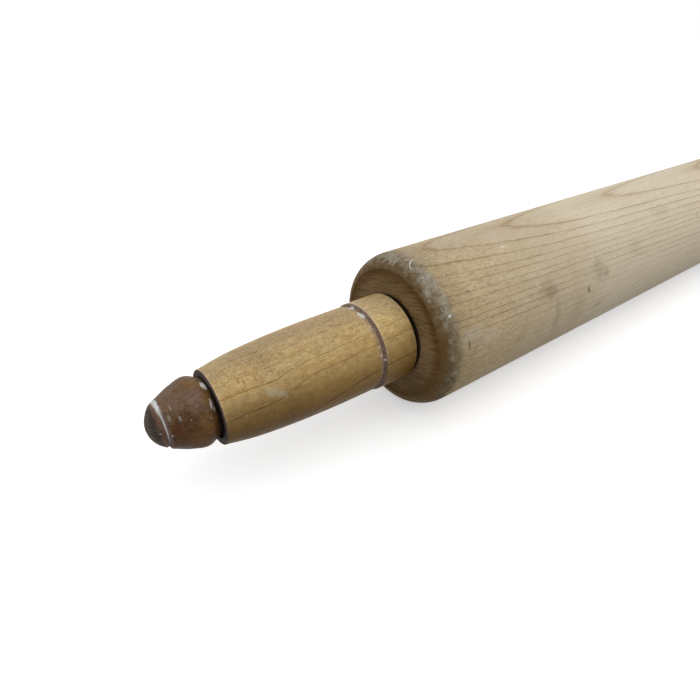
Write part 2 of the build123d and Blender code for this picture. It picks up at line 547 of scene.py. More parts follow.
EDGE_WHITES = [
    (-1.7, 124, 1.3, 2.2, 0.9), (-0.9, 130, 0.5, 0.9, 0.8), (-4.6, 118, 2.6, 6, 0.7), (-3, 84, 1.8, 3, 0.6),
    (-4.2, 75, 2.2, 3.6, 0.5), (-6.4, 128, 1.2, 3, 0.6), (-6, 144.5, 1.3, 0.7, 0.8),
    (-4.6, 137, 1.6, 3.6, 0.5), (-2.6, 151, 0.8, 1.8, 0.6), (-2.9, 161, 0.8, 1.3, 0.7),
    (-3.2, 173, 0.9, 1.4, 0.7), (-5, 186, 1.4, 2, 0.35), (-4, 20, 2, 5, 0.7), (-3, 245, 1.6, 4, 0.7),
    (-5, 292, 2, 6, 0.6),
]
FINE_SCRATCHES = [
    (-57.8, 147, -59.5, 150.5, 0.16, 0.75), (-104.5, 134.5, -107, 138, 0.2, 0.35),
    (-50, 126, -57, 122, 0.18, 0.22), (-0.9, 74, -2.6, 78.5, 0.15, 0.7),
    (-0.8, 82.2, -2.3, 83.6, 0.15, 0.65), (-0.8, 87, -2.4, 86, 0.15, 0.55),
    (-7.2, 95.5, -5.4, 96.2, 0.16, 0.7), (-5.4, 96.2, -3.8, 98.4, 0.2, 0.9),
    (-3.8, 98.4, -2.8, 101.6, 0.18, 0.8), (-4.4, 91, -6.2, 96, 0.1, 0.45),
    (-233, 118, -246, 121, 0.18, 0.4),
]
print("barrel marks:", len(GREY_STAINS + PALE_SMEARS + DARK_TICKS + WHITE_SPECKS + EDGE_WHITES))

# %% [markdown]
# The wood of the side comes first: its tone along the barrel, its flecks, its rings and the marks of use.
# The flecks are strongest near the ends, where fewer hands and less dough have polished the wood. The
# rings are rubbed faint on the side that rolls most, and wide and soft where they only graze the top.

# %% Bare maple


def bare_maple(finish, pin, inboard, line, late):
    streak = finish.noise(0.55, 3, 0.6, 10.0, (0.05, 1, 1))
    near_end, top = inboard.ramp(80, 10), pin.sine.ramp(0.93, 1.0)
    rubbed = (1.0 - 0.45 * top) * (1.0 - 0.65 * pin.angle.within(166, 218, 7))
    smear = pin.marks(PALE_SMEARS, 1.8, pin.fine, 0.6) * pin.fine.ramp(0.35, 0.6)
    return finish.layers(
        (0.59, 0.5, 0.355),
        (pin.coarse.ramp(0.3, 0.7), (0.54, 0.445, 0.305)),
        (inboard.ramp(80, 122) * 0.9, (0.68, 0.6, 0.46)),
        (near_end * 0.8, (0.52, 0.41, 0.25)),
        (inboard.ramp(24, 7) * 0.9, (0.78, 0.77, 0.74), TINT),
        (streak.ramp(0.35, 0.7) * 0.4, (0.84, 0.8, 0.75), TINT),
        (late * 0.3, (0.91, 0.87, 0.81), TINT),
        (pin.grain.ramp(0.5, 0.62) * (0.25 + near_end * 0.45), (0.76, 0.71, 0.64), TINT),
        (pin.grain.ramp(0.47, 0.38) * (0.25 + near_end * 0.75), (1.18, 1.14, 1.05), TINT),
        (pin.fine.ramp(0.46, 0.6) * (0.2 + near_end * 0.55), (0.82, 0.77, 0.69), TINT),
        (pin.medium.ramp(0.56, 0.4) * (0.15 + near_end * 0.25), (0.88, 0.84, 0.77), TINT),
        # painted sheen: the top near the ends is paler and bluer
        (top * near_end * 0.9, (0.98, 1.02, 1.13), TINT),
        (late.maths("POWER", 6.0) * top * 0.55, (0.8, 0.7, 0.59), TINT),
        (line * (0.5 + 0.45 * streak.ramp(0.3, 0.65)) * rubbed, (0.6, 0.505, 0.405), TINT),
        (pin.marks(GREY_STAINS, 1.5, pin.medium, 0.7) * 0.9, (0.66, 0.645, 0.62), TINT),
        (smear * 0.5, (0.56, 0.54, 0.49)),
        (pin.marks(DARK_TICKS, 0.8, pin.fine, 0.5) * 0.9, (0.36, 0.3, 0.22), TINT),
    )


print("stains, smears and ticks on bare maple:", len(GREY_STAINS + PALE_SMEARS + DARK_TICKS))

# %% [markdown]
# The rounded edge was never cleaned well. Next to the face it holds a brown band, and beyond that a
# patchy crust of old flour and paint, which thins out into the wood. The pattern is built from the
# distance to the nearer end, so both ends have one. Noise frays it into a grey film, pale lumps and dark
# specks, and a few white places are listed one by one.

# %% Crust on the barrel's edges


def crusted_edge(finish, pin, inboard, colour):
    """The colour with the brown band and the crust over it, and how thick the crust lies."""
    coarse, medium, fine = pin.coarse, pin.medium, pin.fine
    lumps, specks = finish.noise(1.1, 5, 0.75, 13.0), finish.noise(1.3, 3, 0.6, 11.0)
    under = pin.angle.within(154, 224, 8)
    white = pin.marks(EDGE_WHITES, 1.6, lumps, 0.5)
    brown = finish.layers(
        (0.135, 0.086, 0.036),
        (medium.ramp(0.38, 0.62), (0.2, 0.135, 0.064)),
        (under * 0.9, (0.128, 0.068, 0.018)),
        (fine.ramp(0.46, 0.6) * 0.6, (0.62, 0.55, 0.46), TINT),
        (pin.grain.ramp(0.46, 0.36) * 0.7, (1.45, 1.4, 1.3), TINT),
    )
    film = finish.layers(
        (0.15, 0.112, 0.064),
        (medium.ramp(0.38, 0.6), (0.28, 0.243, 0.18)),
        (lumps.ramp(0.52, 0.6) * 0.5, (0.385, 0.363, 0.305)),
        (under * 0.85, (0.72, 0.65, 0.5), TINT),
        (white * 0.6, (0.4, 0.375, 0.3)),
        (fine.ramp(0.5, 0.6) * lumps.ramp(0.42, 0.52) * white, (0.66, 0.65, 0.6)),
        (fine.ramp(0.56, 0.62) * 0.5, (0.46, 0.44, 0.375)),
        (specks.ramp(0.55, 0.63) * 0.7, (0.085, 0.062, 0.033)),
    )
    brown_share = (inboard + (coarse - 0.5) * 3.5).ramp(7.5, 1.5) * 0.94
    frayed = inboard + (coarse - 0.5) * 4.0 + (medium - 0.5) * 4.5 + (lumps - 0.5) * 4.5
    wide = pin.mark(-6, 66, 8.0, 15.0, soft=0.6)
    crust = (frayed.ramp(0.8, 3.2) * (frayed - wide * 2.0).ramp(9.4, 5.2)).maths("MAXIMUM", white)
    cover = 0.55 + 0.3 * coarse.ramp(0.35, 0.6) + 0.15 * white
    return finish.layers(colour, (brown_share, brown), (crust * cover, film)), crust * lumps


print("edge whites:", len(EDGE_WHITES))

# %% [markdown]
# The end face is sawn across the rings, and end grain drinks in grease, so it is darker and browner. It
# shows the same sheets of growth edge on, as straight faint stripes. Dirt has gathered against its rim.
# Its lower, nearer part is painted lighter, as light, and so is the ring next to the handle, against
# the shade that gathers there; the top is a little darker. A painted shadow lies black in the middle,
# where the handle's end meets the face.

# %% End grain of the barrel
FACE_RADIUS = 29.6


def end_grain(finish, pin, inboard, colour):
    """The colour with the two end faces over it."""
    radius, angle = pin.radius, pin.angle
    face = radius.ramp(FACE_RADIUS + 0.3, FACE_RADIUS - 0.7) * inboard.ramp(1.2, 0.5)
    stripe = finish.noise_at(pin.turned_to(73.3) * 1.3, pin.turned_to(-16.7) * 0.09)
    grain = finish.layers(
        (0.155, 0.094, 0.035),
        (pin.coarse.ramp(0.3, 0.7), (0.192, 0.122, 0.05)),
        (radius.within(17, 25.5, 2.5) * 0.6, (0.21, 0.145, 0.072)),
        (stripe.ramp(0.5, 0.6) * 0.8, (0.58, 0.51, 0.43), TINT),
        # painted light: the face is lighter next to the handle, against the shade there
        (radius.ramp(23.5, 19.5) * 0.8, (1.22, 1.2, 1.15), TINT),
        (pin.fine.ramp(0.46, 0.58) * 0.6, (1.36, 1.33, 1.26), TINT),
        (radius.within(26.3, 30.5, 1.8) * 0.8, (0.66, 0.56, 0.36), TINT),
        (radius.within(29.2, 29.8, 0.5) * 0.6, (0.4, 0.33, 0.25), TINT),
        # painted light on the lower, nearer part of the face; the top is a little darker
        (angle.within(156, 206, 18), (1.34, 1.36, 1.5), TINT),
        (angle.within(50, 108, 9), (0.89, 0.89, 0.84), TINT),
        # painted shadow: black in the middle, where the handle's end meets the face
        (radius.ramp(18.7, 18.0) * 0.9, (0.012, 0.008, 0.005)),
    )
    return finish.mix(face, colour, grain)


print("end face:", 2 * FACE_RADIUS, "mm across")

# %% Finish of the barrel


def barrel_finish():
    finish = Finish("barrel_maple")
    pin = Pin(finish, -1, 6.0, girth=barrel_radius / MM)
    inboard = barrel_end / MM - pin.x.maths("ABSOLUTE")
    line, late = barrel_rings(finish, pin)
    colour = bare_maple(finish, pin, inboard, line, late)
    colour, crust = crusted_edge(finish, pin, inboard, colour)
    colour = end_grain(finish, pin, inboard, colour)
    specks = pin.strongest([pin.marks(WHITE_SPECKS, 1.2, pin.fine, 0.5), pin.scratches(FINE_SCRATCHES)])
    colour = finish.mix(specks * pin.fine.ramp(0.3, 0.5), colour, (0.72, 0.71, 0.66))
    roughness = 0.6 + crust * 0.4 + (pin.grain - 0.5) * 0.2
    relief = pin.grain * 0.7 + pin.fine * 0.3 + crust * 1.6 - line * 0.35
    return finish.surface(colour, roughness, relief, 0.08 * MM, Specular_IOR_Level=0.1)


barrel_wood = barrel_finish()
print("barrel finish:", len(barrel_wood.node_tree.nodes), "nodes")

# %% [markdown]
# ## The barrel
#
# The barrel is one long cylinder whose edges were rounded over on the lathe. The outline follows it
# round: bore, bush seat, end face, rounding and side, then the same at the other end. Rows are close
# where the surface bends and sparse where it runs straight.

# %% Turn the barrel
BORE, SEAT, SEAT_DEPTH = 6.0, 9.1, 25.0
FACE_STEP, EDGE_RUN, ROLL_WIDTH = 0.35, 9.0, 2.0
# How the face rolls into the rounding: how far in from the end, and down from the face's radius.
SOFT_STEP = [(0.35, 1.2), (0.31, 0.8), (0.2, 0.45), (0.09, 0.2), (0.03, 0.0)]


def barrel_outline():
    """One half of the barrel's outline, from the bore round the end to the middle of its side."""
    middle, full_radius = -barrel_end / MM, barrel_radius / MM
    rows = [(middle, BORE), (-SEAT_DEPTH, BORE), (-SEAT_DEPTH, SEAT), (-FACE_STEP, SEAT)]
    rows += [(-FACE_STEP, radius) for radius in np.linspace(SEAT, FACE_RADIUS - ROLL_WIDTH, 6)[1:]]
    rows += [(-back, FACE_RADIUS - down) for back, down in SOFT_STEP]
    for angle in np.linspace(0.0, math.pi / 2, 26)[1:]:
        radius = FACE_RADIUS + (full_radius - FACE_RADIUS) * math.sin(angle)
        rows.append((EDGE_RUN * (math.cos(angle) - 1), radius))
    return worn_outline(rows + [(station, full_radius) for station in np.linspace(-EDGE_RUN, middle, 36)[1:]])


half = barrel_outline()
whole = half + mirrored(half, -1)[-2:0:-1]
barrel = turn("barrel_wood", whole, barrel_wood, 384, 0.1 * MM, 11, closed=True)
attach(barrel, "barrel")
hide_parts("barrel")

# %% [markdown]
# ## The handles' finish
#
# The handles are the same kind of wood under old lacquer, which has gone golden and worn dull where a
# palm rubs it. Each is its own piece of wood, so the two ends get their own ring direction and their own
# marks. The underside is painted darker than the top, as shade, and the greyer top is partly wear and
# partly painted sheen.

# %% Marks on the handles
NEAR_SCUFF = [
    (62.6, 161, 0.9, 1.2, 0.6), (64.2, 156.5, 1.8, 1.3, 0.9), (66.4, 151.5, 2.2, 1.7, 1),
    (68, 147, 1, 1.6, 0.8), (77.5, 169, 0.4, 0.35, 1), (69, 180, 0.35, 0.35, 0.35),
    (30, 100, 0.35, 0.3, 0.35), (73, 118, 0.3, 0.25, 0.35),
]
NEAR_TICKS = [
    (58.2, 128, 0.3, 0.9, 0.3), (60.5, 134, 0.3, 1.2, 0.5), (61.6, 130, 0.25, 0.8, 0.35),
    (64.2, 129, 0.3, 1, 0.5), (66, 126, 0.35, 0.8, 0.35), (68.5, 130, 0.3, 0.9, 0.4),
    (70.6, 127, 0.35, 1.4, 0.5), (72.4, 131, 0.3, 0.9, 0.35), (74.6, 128, 0.4, 1.9, 0.6),
    (76.2, 124, 0.3, 1.3, 0.45), (78.2, 128, 0.3, 1, 0.3),
]
NEAR_SCRATCHES = [
    (66.6, 108, 65.8, 147, 0.13, 0.35), (67.8, 116, 67.2, 132, 0.1, 0.25),
    (68.3, 126, 68.9, 150, 0.11, 0.28), (62.6, 161, 61.6, 167, 0.12, 0.4),
    (67.9, 153, 67.3, 160, 0.12, 0.35), (30.2, 181, 30.8, 190, 0.12, 0.25),
]
NEAR_SMUDGES = [
    (66, 100, 4, 8, 0.75), (71, 84, 5, 5, 0.5), (57, 186, 5, 4, 0.5), (34, 88, 14, 3.5, 0.4),
    (12, 82, 7, 4, 0.3), (55, 84, 16, 4, 0.5), (48, 170, 9, 3, 0.25),
]
NEAR_PAINT = [
    (19.6, 78.5, 1.3, 1.9, 1), (19.7, 102, 1.25, 2.1, 1), (19.8, 151, 0.7, 0.35, 0.7),
    (19.8, 161.5, 0.55, 0.55, 0.9), (18.2, 169, 0.35, 0.5, 0.8), (20.4, 125, 0.4, 1.4, 0.35),
]
FAR_SCRATCHES = [(40, 62, 43, 78, 0.12, 0.4), (58, 131, 57, 150, 0.12, 0.35)]
FAR_SCUFF = [(41, 70, 2.4, 1.6, 0.8), (57, 150, 0.5, 0.4, 0.9), (73, 118, 0.5, 0.5, 0.8)]
FAR_TICKS = [
    (52, 96, 0.22, 1.2, 0.6), (55.5, 94, 0.2, 0.9, 0.5), (71, 60, 0.22, 1.3, 0.6), (33, 140, 0.2, 1.1, 0.5),
]
FAR_SMUDGES = [(60, 95, 8, 5, 0.5), (24, 130, 7, 4, 0.3), (46, 30, 9, 5, 0.45)]
FAR_PAINT = [(19.7, 60, 1.2, 1.6, 1), (19.8, 118, 0.9, 0.8, 0.8), (19.5, 175, 1, 2.4, 0.8)]
print("handle marks:", len(NEAR_SCUFF + NEAR_TICKS + NEAR_SMUDGES + NEAR_PAINT), "at the near end")

# %% Lacquered maple
HANDLE_RINGS = [-27, -23, -18.5, -14, -9, -4.9, -1.1, 3.4, 8.3, 15.9, 20.6, 25]
GROOVE_START, GROOVE_DEEPEST, GROOVE_STOP = 17.6, 18.7, 20.7


def handle_rings(finish, pin, heart):
    """Nearly flat sheets, which bend a little in the outer half of the grip."""
    height = pin.turned_to(heart)
    bend = height.ramp(4, 9) * 1.7 + 0.7
    depth = height - (pin.station - 20.0) * 0.03 - pin.station.ramp(50, 67) * bend
    depth = depth + pin.station.ramp(62, 86) * 1.6 - height.ramp(13, 16) * pin.station.ramp(20, 45)
    depth = depth + (finish.noise(0.35, 2, 0.5, 3.0, (0.35, 1, 1)) - 0.5) * 0.7
    depth = depth + (pin.medium - 0.5) * 0.5 + (pin.fine - 0.5) * 0.1
    return rings(finish, depth, HANDLE_RINGS, 0.19)


def lacquered_maple(finish, pin, heart):
    """Golden lacquer over mottled maple, greyer on top with wear and painted sheen, and darker below with
    painted shade. Returns colour and line.
    """
    grain, fine, sine = pin.grain, pin.fine, pin.sine
    line, late = handle_rings(finish, pin, heart)
    dash = finish.noise(1.2, 1, 0.5, heart, (0.25, 1, 1))
    # how much painted shade lies below; it is weaker on the hidden back
    less_painted_shade = 1.0 - 0.6 * pin.strongest([pin.angle.ramp(224, 254), pin.angle.ramp(40, 8)])
    faint = 0.3 + 0.55 * pin.turned_to(heart).ramp(-0.5, 2.5)
    broken = 0.3 + 0.45 * pin.medium.ramp(0.38, 0.52) + 0.25 * fine.ramp(0.38, 0.52)
    colour = finish.layers(
        (0.44, 0.29, 0.115),
        (pin.medium.ramp(0.36, 0.64), (0.55, 0.385, 0.165)),
        (pin.coarse.ramp(0.42, 0.66) * 0.5, (0.44, 0.32, 0.16)),
        # greyer top: partly wear, partly painted sheen
        (sine.ramp(0.87, 1.0) * 0.6, (0.42, 0.33, 0.205)),
        # painted sheen: a bluer band along the side
        (pin.angle.within(112, 136, 8) * 0.7, (1.05, 1.12, 1.28), TINT),
        # painted shade: darker towards the bottom
        (sine.ramp(0.78, -0.1) * 0.86 * less_painted_shade, (0.235, 0.14, 0.04)),
        (sine.ramp(0.05, -0.4) * less_painted_shade, (0.68, 0.6, 0.36), TINT),
        # painted shade: darker towards the bottom in the outer part of the grip
        (pin.station.ramp(48, 64) * sine.ramp(0.75, 0.2) * 0.9, (0.74, 0.73, 0.72), TINT),
        (grain.ramp(0.5, 0.62) * 0.42, (0.76, 0.69, 0.59), TINT),
        (grain.ramp(0.47, 0.38) * 0.75, (1.2, 1.18, 1.11), TINT),
        (fine.ramp(0.46, 0.58) * 0.6, (0.82, 0.76, 0.66), TINT),
        (fine.ramp(0.42, 0.34) * 0.6, (1.18, 1.16, 1.1), TINT),
        (dash.ramp(0.64, 0.72) * 0.3, (0.64, 0.56, 0.46), TINT),
        (fine.ramp(0.54, 0.6) * sine.ramp(0.6, 0.9) * 0.6, (0.7, 0.62, 0.52), TINT),
        (late * 0.2, (0.88, 0.8, 0.68), TINT),
        (line * faint * broken, (0.34, 0.27, 0.2), TINT),
    )
    return colour, line


print("handle rings:", len(HANDLE_RINGS))

# %% [markdown]
# The groove, the worn corners and the dark end grain follow from the station and the radius, so they stay
# sharp at any zoom. The groove's steep wall is painted dark, as shade, the lacquer is gone from the
# corners, and the outer end with its recess is nearly black. On the side towards the baker the recess is
# painted black, as shadow.

# %% Groove and ends of a handle


def groove_and_ends(finish, pin, colour):
    """The colour with the groove, the worn corners and the end grain over it, and where the end is."""
    station, fine, sine = pin.station, pin.fine, pin.sine
    wall = station.within(GROOVE_START + 0.1, GROOVE_DEEPEST, 0.22)
    slope = station.within(GROOVE_DEEPEST, GROOVE_STOP, 0.2)
    corners = pin.strongest([station.within(17.15, 17.5, 0.18), station.within(2.0, 2.35, 0.18)])
    end = station.ramp(84.35, 84.62).maths("MAXIMUM", pin.radius.ramp(12.0, 11.8) * station.ramp(60, 70))
    end_colour = finish.mix(pin.medium.ramp(0.3, 0.7), (0.06, 0.047, 0.04), (0.135, 0.11, 0.095))
    # painted shadow: black inside the recess on the side towards the baker
    painted_recess_shadow = pin.radius.ramp(13.1, 12.3) * pin.angle.within(112, 214, 16)
    outer_corner = station.within(84.1, 84.4, 0.16) * fine.ramp(0.4, 0.58)
    colour = finish.layers(
        colour,
        # painted shade on the groove's steep wall
        (wall * 0.92, finish.mix(fine.ramp(0.42, 0.6), (0.105, 0.068, 0.056), (0.26, 0.19, 0.165))),
        (slope * (0.3 + 0.5 * fine.ramp(0.38, 0.58)), (0.3, 0.22, 0.15)),
        (corners * fine.ramp(0.4, 0.56) * sine.ramp(-0.2, 0.5) * 0.6, (0.6, 0.56, 0.5)),
        (end, finish.mix(painted_recess_shadow * 0.95, end_colour, (0.01, 0.008, 0.007))),
        (outer_corner * sine.ramp(-0.1, 0.6) * 0.55, (0.5, 0.46, 0.41)),
    )
    return colour, end


print("groove from", GROOVE_START, "to", GROOVE_STOP, "mm")

# %% Finish of a handle


def handle_finish(name, side, heart, seed, scuff, ticks, smudges, paint, scratches):
    finish = Finish(name)
    pin = Pin(finish, side, seed, girth=17.5)
    colour, line = lacquered_maple(finish, pin, heart)
    colour = finish.layers(
        colour,
        # painted light: the collar is lighter on top
        (pin.station.ramp(18.0, 17.4) * pin.sine.ramp(0.3, 0.9), (1.18, 1.2, 1.2), TINT),
        (pin.marks(smudges, 1.4, pin.medium, 0.7) * 0.8, (0.74, 0.71, 0.74), TINT),
        (pin.marks(ticks, 1.0, pin.fine, 0.6), (0.62, 0.53, 0.42), TINT),
    )
    colour, end = groove_and_ends(finish, pin, colour)
    worn = pin.marks(scuff, 2.0, pin.medium, 0.4) * (0.5 + 0.5 * pin.grain.ramp(0.42, 0.54))
    worn = pin.strongest([worn, pin.scratches(scratches)])
    painted = pin.marks(paint, 1.4, pin.fine)
    colour = finish.layers(colour, (worn * 0.5, (0.48, 0.45, 0.35)), (painted * 0.92, (0.68, 0.67, 0.63)))
    roughness = 0.4 + pin.medium.ramp(0.35, 0.7) * 0.14 + end * 0.3 + worn * 0.2
    relief = pin.grain * 0.7 + pin.fine * 0.3 - line * 0.5 + painted * 0.9
    return finish.surface(colour, roughness, relief, 0.07 * MM, Specular_IOR_Level=0.11)


NEAR_MARKS = (NEAR_SCUFF, NEAR_TICKS, NEAR_SMUDGES, NEAR_PAINT, NEAR_SCRATCHES)
FAR_MARKS = (FAR_SCUFF, FAR_TICKS, FAR_SMUDGES, FAR_PAINT, FAR_SCRATCHES)
near_handle_wood = handle_finish("handle_maple_near", -1, 210.0, 20.0, *NEAR_MARKS)
far_handle_wood = handle_finish("handle_maple_far", 1, 118.0, 47.0, *FAR_MARKS)
print("handle finish:", len(near_handle_wood.node_tree.nodes), "nodes")

# %% [markdown]
# ## The handles
#
# A handle is turned like the barrel. Its arrises are worn, so each crisp corner gets a few short steps.
# The grip is a long swelling curve through five measured points, and the outer end has a flat-bottomed
# recess for the button's neck.

# %% Turn the handles
HANDLE_BORE, RECESS, RECESS_DEPTH = 5.08, 11.7, 5.0
GRIP_RADIUS, GRIP_END_RADIUS, GROOVE_BOTTOM = 18.6, 14.4, (18.685, 17.7)
# Where the grip's outline passes, as shares of its length and of its drop in radius.
GRIP_BEND = [(0.0, 0.0), (0.3, 0.04), (0.6, 0.23), (0.85, 0.59), (1.0, 1.0)]


def handle_outline():
    start, stop, collar = handle_start / MM, handle_stop / MM, collar_radius / MM
    floor, grip_run, grip_drop = stop - RECESS_DEPTH, stop - 0.4 - GROOVE_STOP, GRIP_RADIUS - GRIP_END_RADIUS
    bend = [(GROOVE_STOP + along * grip_run, GRIP_RADIUS - down * grip_drop) for along, down in GRIP_BEND]
    rows = [(start, radius) for radius in (HANDLE_BORE, 9, 13, 16.5)] + [(start, collar, 0.5, 0.5)]
    rows += [(station, collar) for station in np.linspace(start + 2, GROOVE_START - 2, 7)]
    rows += [(GROOVE_START, collar, 0.22, 0.22), (*GROOVE_BOTTOM, 0.2, 0.2)]
    rows += [(GROOVE_STOP, GRIP_RADIUS, 0.3, 0.3), *curve_through(bend, 14)[2:-1]]
    rows += [(stop, GRIP_END_RADIUS, 0.45, 0.4), (stop, 13.2), (stop, 12.4)]
    rows += [(stop, RECESS, 0.2, 0.2), (floor + 2.5, RECESS)]
    rows += [(floor, radius) for radius in (RECESS, 8.5, HANDLE_BORE)]
    return worn_outline(rows + [(station, HANDLE_BORE) for station in (60, 40, 20)])


for side, label, wood, seed in ((-1, "left", near_handle_wood, 21), (1, "right", far_handle_wood, 33)):
    piece = turn(label + "_grip", mirrored(handle_outline(), side), wood, 288, 0.09 * MM, seed, closed=True)
    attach(piece, label + "_handle")
    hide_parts(label + "_handle")

# %% [markdown]
# ## The end buttons
#
# A button closes each handle and hides the threaded end of the rod. It is a darker, redder wood under old
# varnish, knocked about more than anything else on the pin. A ring cut near its nose has filled with
# white paint, and the nose beyond it is worn to a grey-black. Flakes of paint cling near its back edge.

# %% Marks on the buttons
NEAR_CHIPS = [
    (86.1, 103, 0.9, 1.8, 1), (86.4, 137, 0.35, 1.4, 0.6), (86.9, 143, 0.3, 1, 0.7),
    (86.1, 149, 0.3, 0.7, 0.5), (97.4, 143, 0.35, 1, 0.25), (98.8, 118, 0.3, 1.2, 0.22),
    (100.2, 135, 0.5, 1.3, 0.2), (101, 173, 0.3, 0.6, 0.45), (104, 164, 0.3, 0.3, 0.7),
    (94.5, 152, 0.2, 0.5, 0.2), (88.2, 160, 0.3, 0.4, 0.2), (101.9, 77, 0.7, 2.4, 0.8),
]
NEAR_GOLD = [
    (89.5, 97, 2, 1.6, 0.8), (90, 170, 2.6, 3.4, 0.7), (87, 125, 1.2, 3, 0.5), (93, 190, 3, 3, 0.5),
]
# Pinkish patches of painted sheen on the varnish.
NEAR_PAINTED_SHEEN = [(91.5, 124, 2.6, 3.2, 0.8), (97, 112, 4, 3, 0.55), (98, 88, 3, 3, 0.4)]
NEAR_RED = [(99, 158, 2.2, 2.6, 0.9), (95, 150, 2.5, 2.5, 0.45)]
FAR_CHIPS = [
    (86.3, 60, 0.8, 1.6, 1), (86.8, 150, 0.4, 1.6, 0.8), (98, 100, 0.4, 0.9, 0.5), (93, 30, 0.3, 0.6, 0.5),
]
FAR_GOLD = [(89.5, 130, 2.2, 2.4, 0.7), (91, 40, 2.6, 3, 0.6)]
# Pinkish patches of painted sheen on the varnish.
FAR_PAINTED_SHEEN = [(93, 85, 3, 3.4, 0.7)]
FAR_RED = [(98, 165, 2.5, 2.6, 0.8)]
print("button marks:", len(NEAR_CHIPS + NEAR_GOLD + NEAR_PAINTED_SHEEN + NEAR_RED), "at the near end")

# %% Finish of a button
RING_START, RING_STOP = 101.2, 102.6


def old_varnish(finish, pin, *patches):
    """Dark red-brown wood under varnish, with patches of gold and deep red, pinkish patches of painted sheen,
    a painted lighter top and painted shade below.
    """
    gold, painted_sheen, red = (pin.marks(places, 1.4, pin.medium, 0.7) * 0.85 for places in patches)
    return finish.layers(
        (0.088, 0.046, 0.018),
        (pin.medium.ramp(0.35, 0.65), (0.155, 0.086, 0.038)),
        (pin.coarse.ramp(0.4, 0.7) * 0.5, (0.135, 0.082, 0.042)),
        # painted light: lighter on top
        (pin.sine.ramp(0.93, 1.0) * 0.5, (0.18, 0.108, 0.055)),
        # painted shade: darker towards the bottom
        (pin.sine.ramp(0.8, 0.05) * 0.85, (0.068, 0.026, 0.004)),
        (pin.grain.ramp(0.46, 0.36) * 0.6, (1.3, 1.24, 1.15), TINT),
        (gold, (0.19, 0.097, 0.027)),
        # painted sheen: pinkish patches
        (painted_sheen, (0.19, 0.125, 0.1)),
        (red, (0.08, 0.023, 0.009)),
        (pin.grain.ramp(0.46, 0.62) * 0.75, (0.58, 0.5, 0.42), TINT),
        (pin.fine.ramp(0.52, 0.66) * 0.35, (0.24, 0.16, 0.1)),
    )


def button_finish(name, side, seed, centre, chips, *patches):
    finish = Finish(name)
    pin = Pin(finish, side, seed, girth=12.0, centre=centre)
    station, medium, fine = pin.station, pin.medium, pin.fine
    ragged = station + (fine - 0.5) * 1.5
    red_band = station.within(102.7, 104.4, 0.4) * fine.ramp(0.3, 0.55)
    nose = (ragged + (medium - 0.5) * 4.0).ramp(103.2, 104.4)
    nose_colour = finish.layers(
        (0.022, 0.015, 0.01),
        (fine.ramp(0.42, 0.6), (0.098, 0.076, 0.056)),
        (medium.ramp(0.42, 0.6) * 0.7, (0.04, 0.025, 0.016)),
    )
    cut = station.within(RING_START, RING_STOP, 0.25)
    line = station.within(101.8, 102.25, 0.2) * (0.22 + 0.78 * pin.turned_to(92.0).ramp(-6.0, 4.0))
    patch = ragged.within(101.5, 102.8, 0.3) * pin.turned_to(74.0).ramp(4.5, 8.0)
    chipped = pin.marks(chips, 1.8, fine, 0.35)
    shadowed = station.ramp(86.1, 85.3) * pin.angle.within(122, 214, 18)
    colour = finish.layers(
        old_varnish(finish, pin, *patches),
        (red_band * 0.75, (0.185, 0.105, 0.072)),
        (red_band * pin.grain.ramp(0.44, 0.6) * 0.7, (0.4, 0.34, 0.28), TINT),
        (nose, nose_colour),
        (cut * 0.75, (0.19, 0.145, 0.13)),
        (pin.strongest([line, patch]) * fine.ramp(0.24, 0.46), (0.68, 0.67, 0.65)),
        (chipped, (0.62, 0.63, 0.61)),
        # painted shadow: the back and neck near black, and the lower side next to them
        (pin.strongest([station.ramp(85.1, 84.7), shadowed]) * 0.9, (0.012, 0.009, 0.007)),
    )
    roughness = 0.42 + medium.ramp(0.35, 0.7) * 0.16 + nose * 0.12 + cut * 0.25 + chipped * 0.2
    relief = pin.grain * 0.5 + fine * 0.35 + chipped * 1.4
    return finish.surface(colour, roughness, relief, 0.08 * MM, Specular_IOR_Level=0.13)


NEAR_CENTRE = (0.45, 0.58)
NEAR_MARKS = (NEAR_CHIPS, NEAR_GOLD, NEAR_PAINTED_SHEEN, NEAR_RED)
FAR_MARKS = (FAR_CHIPS, FAR_GOLD, FAR_PAINTED_SHEEN, FAR_RED)
near_button_wood = button_finish("button_hardwood_near", -1, 60.0, NEAR_CENTRE, *NEAR_MARKS)
far_button_wood = button_finish("button_hardwood_far", 1, 71.0, (0.0, 0.0), *FAR_MARKS)
print("button finish:", len(near_button_wood.node_tree.nodes), "nodes")

# %% [markdown]
# Both buttons are turned from one outline, but the near one has had a harder life. Its nose is worn
# short, old paint has filled the upper part of its ring, and its hole was bored off the middle. Sculpting
# could show that, but here the points are moved by a rule, so it stays the same at every run.

# %% Turn the buttons
BACK, BACK_RADIUS, NECK, WIDEST = 84.9, 10.9, 10.3, 89.46
RING_RADIUS, RING_FLOOR, NOSE_RADIUS = 9.1, 7.6, 8.0
INSERT_RADIUS, INSERT_LIP, INSERT_LIP_DEPTH, INSERT_STOP = 6.22, 8.02, 1.02, 94.02
# The radius that fills the ring, at stations from the ring to the nose, and the angles that it spans.
FILLED_STATIONS = (101.0, RING_START, RING_STOP, 103.8, 105.2, 106.2)
FILLED_RADII = (0.0, 9.1, 8.5, 7.55, 5.9, 0.0)
FILLED_MIDDLE, FILLED_HALF, FILLED_FADE = 72.0, 42.0, 18.0
HOLE_STOP, HOLE_RADIUS = 95.0 * MM, 8.5 * MM


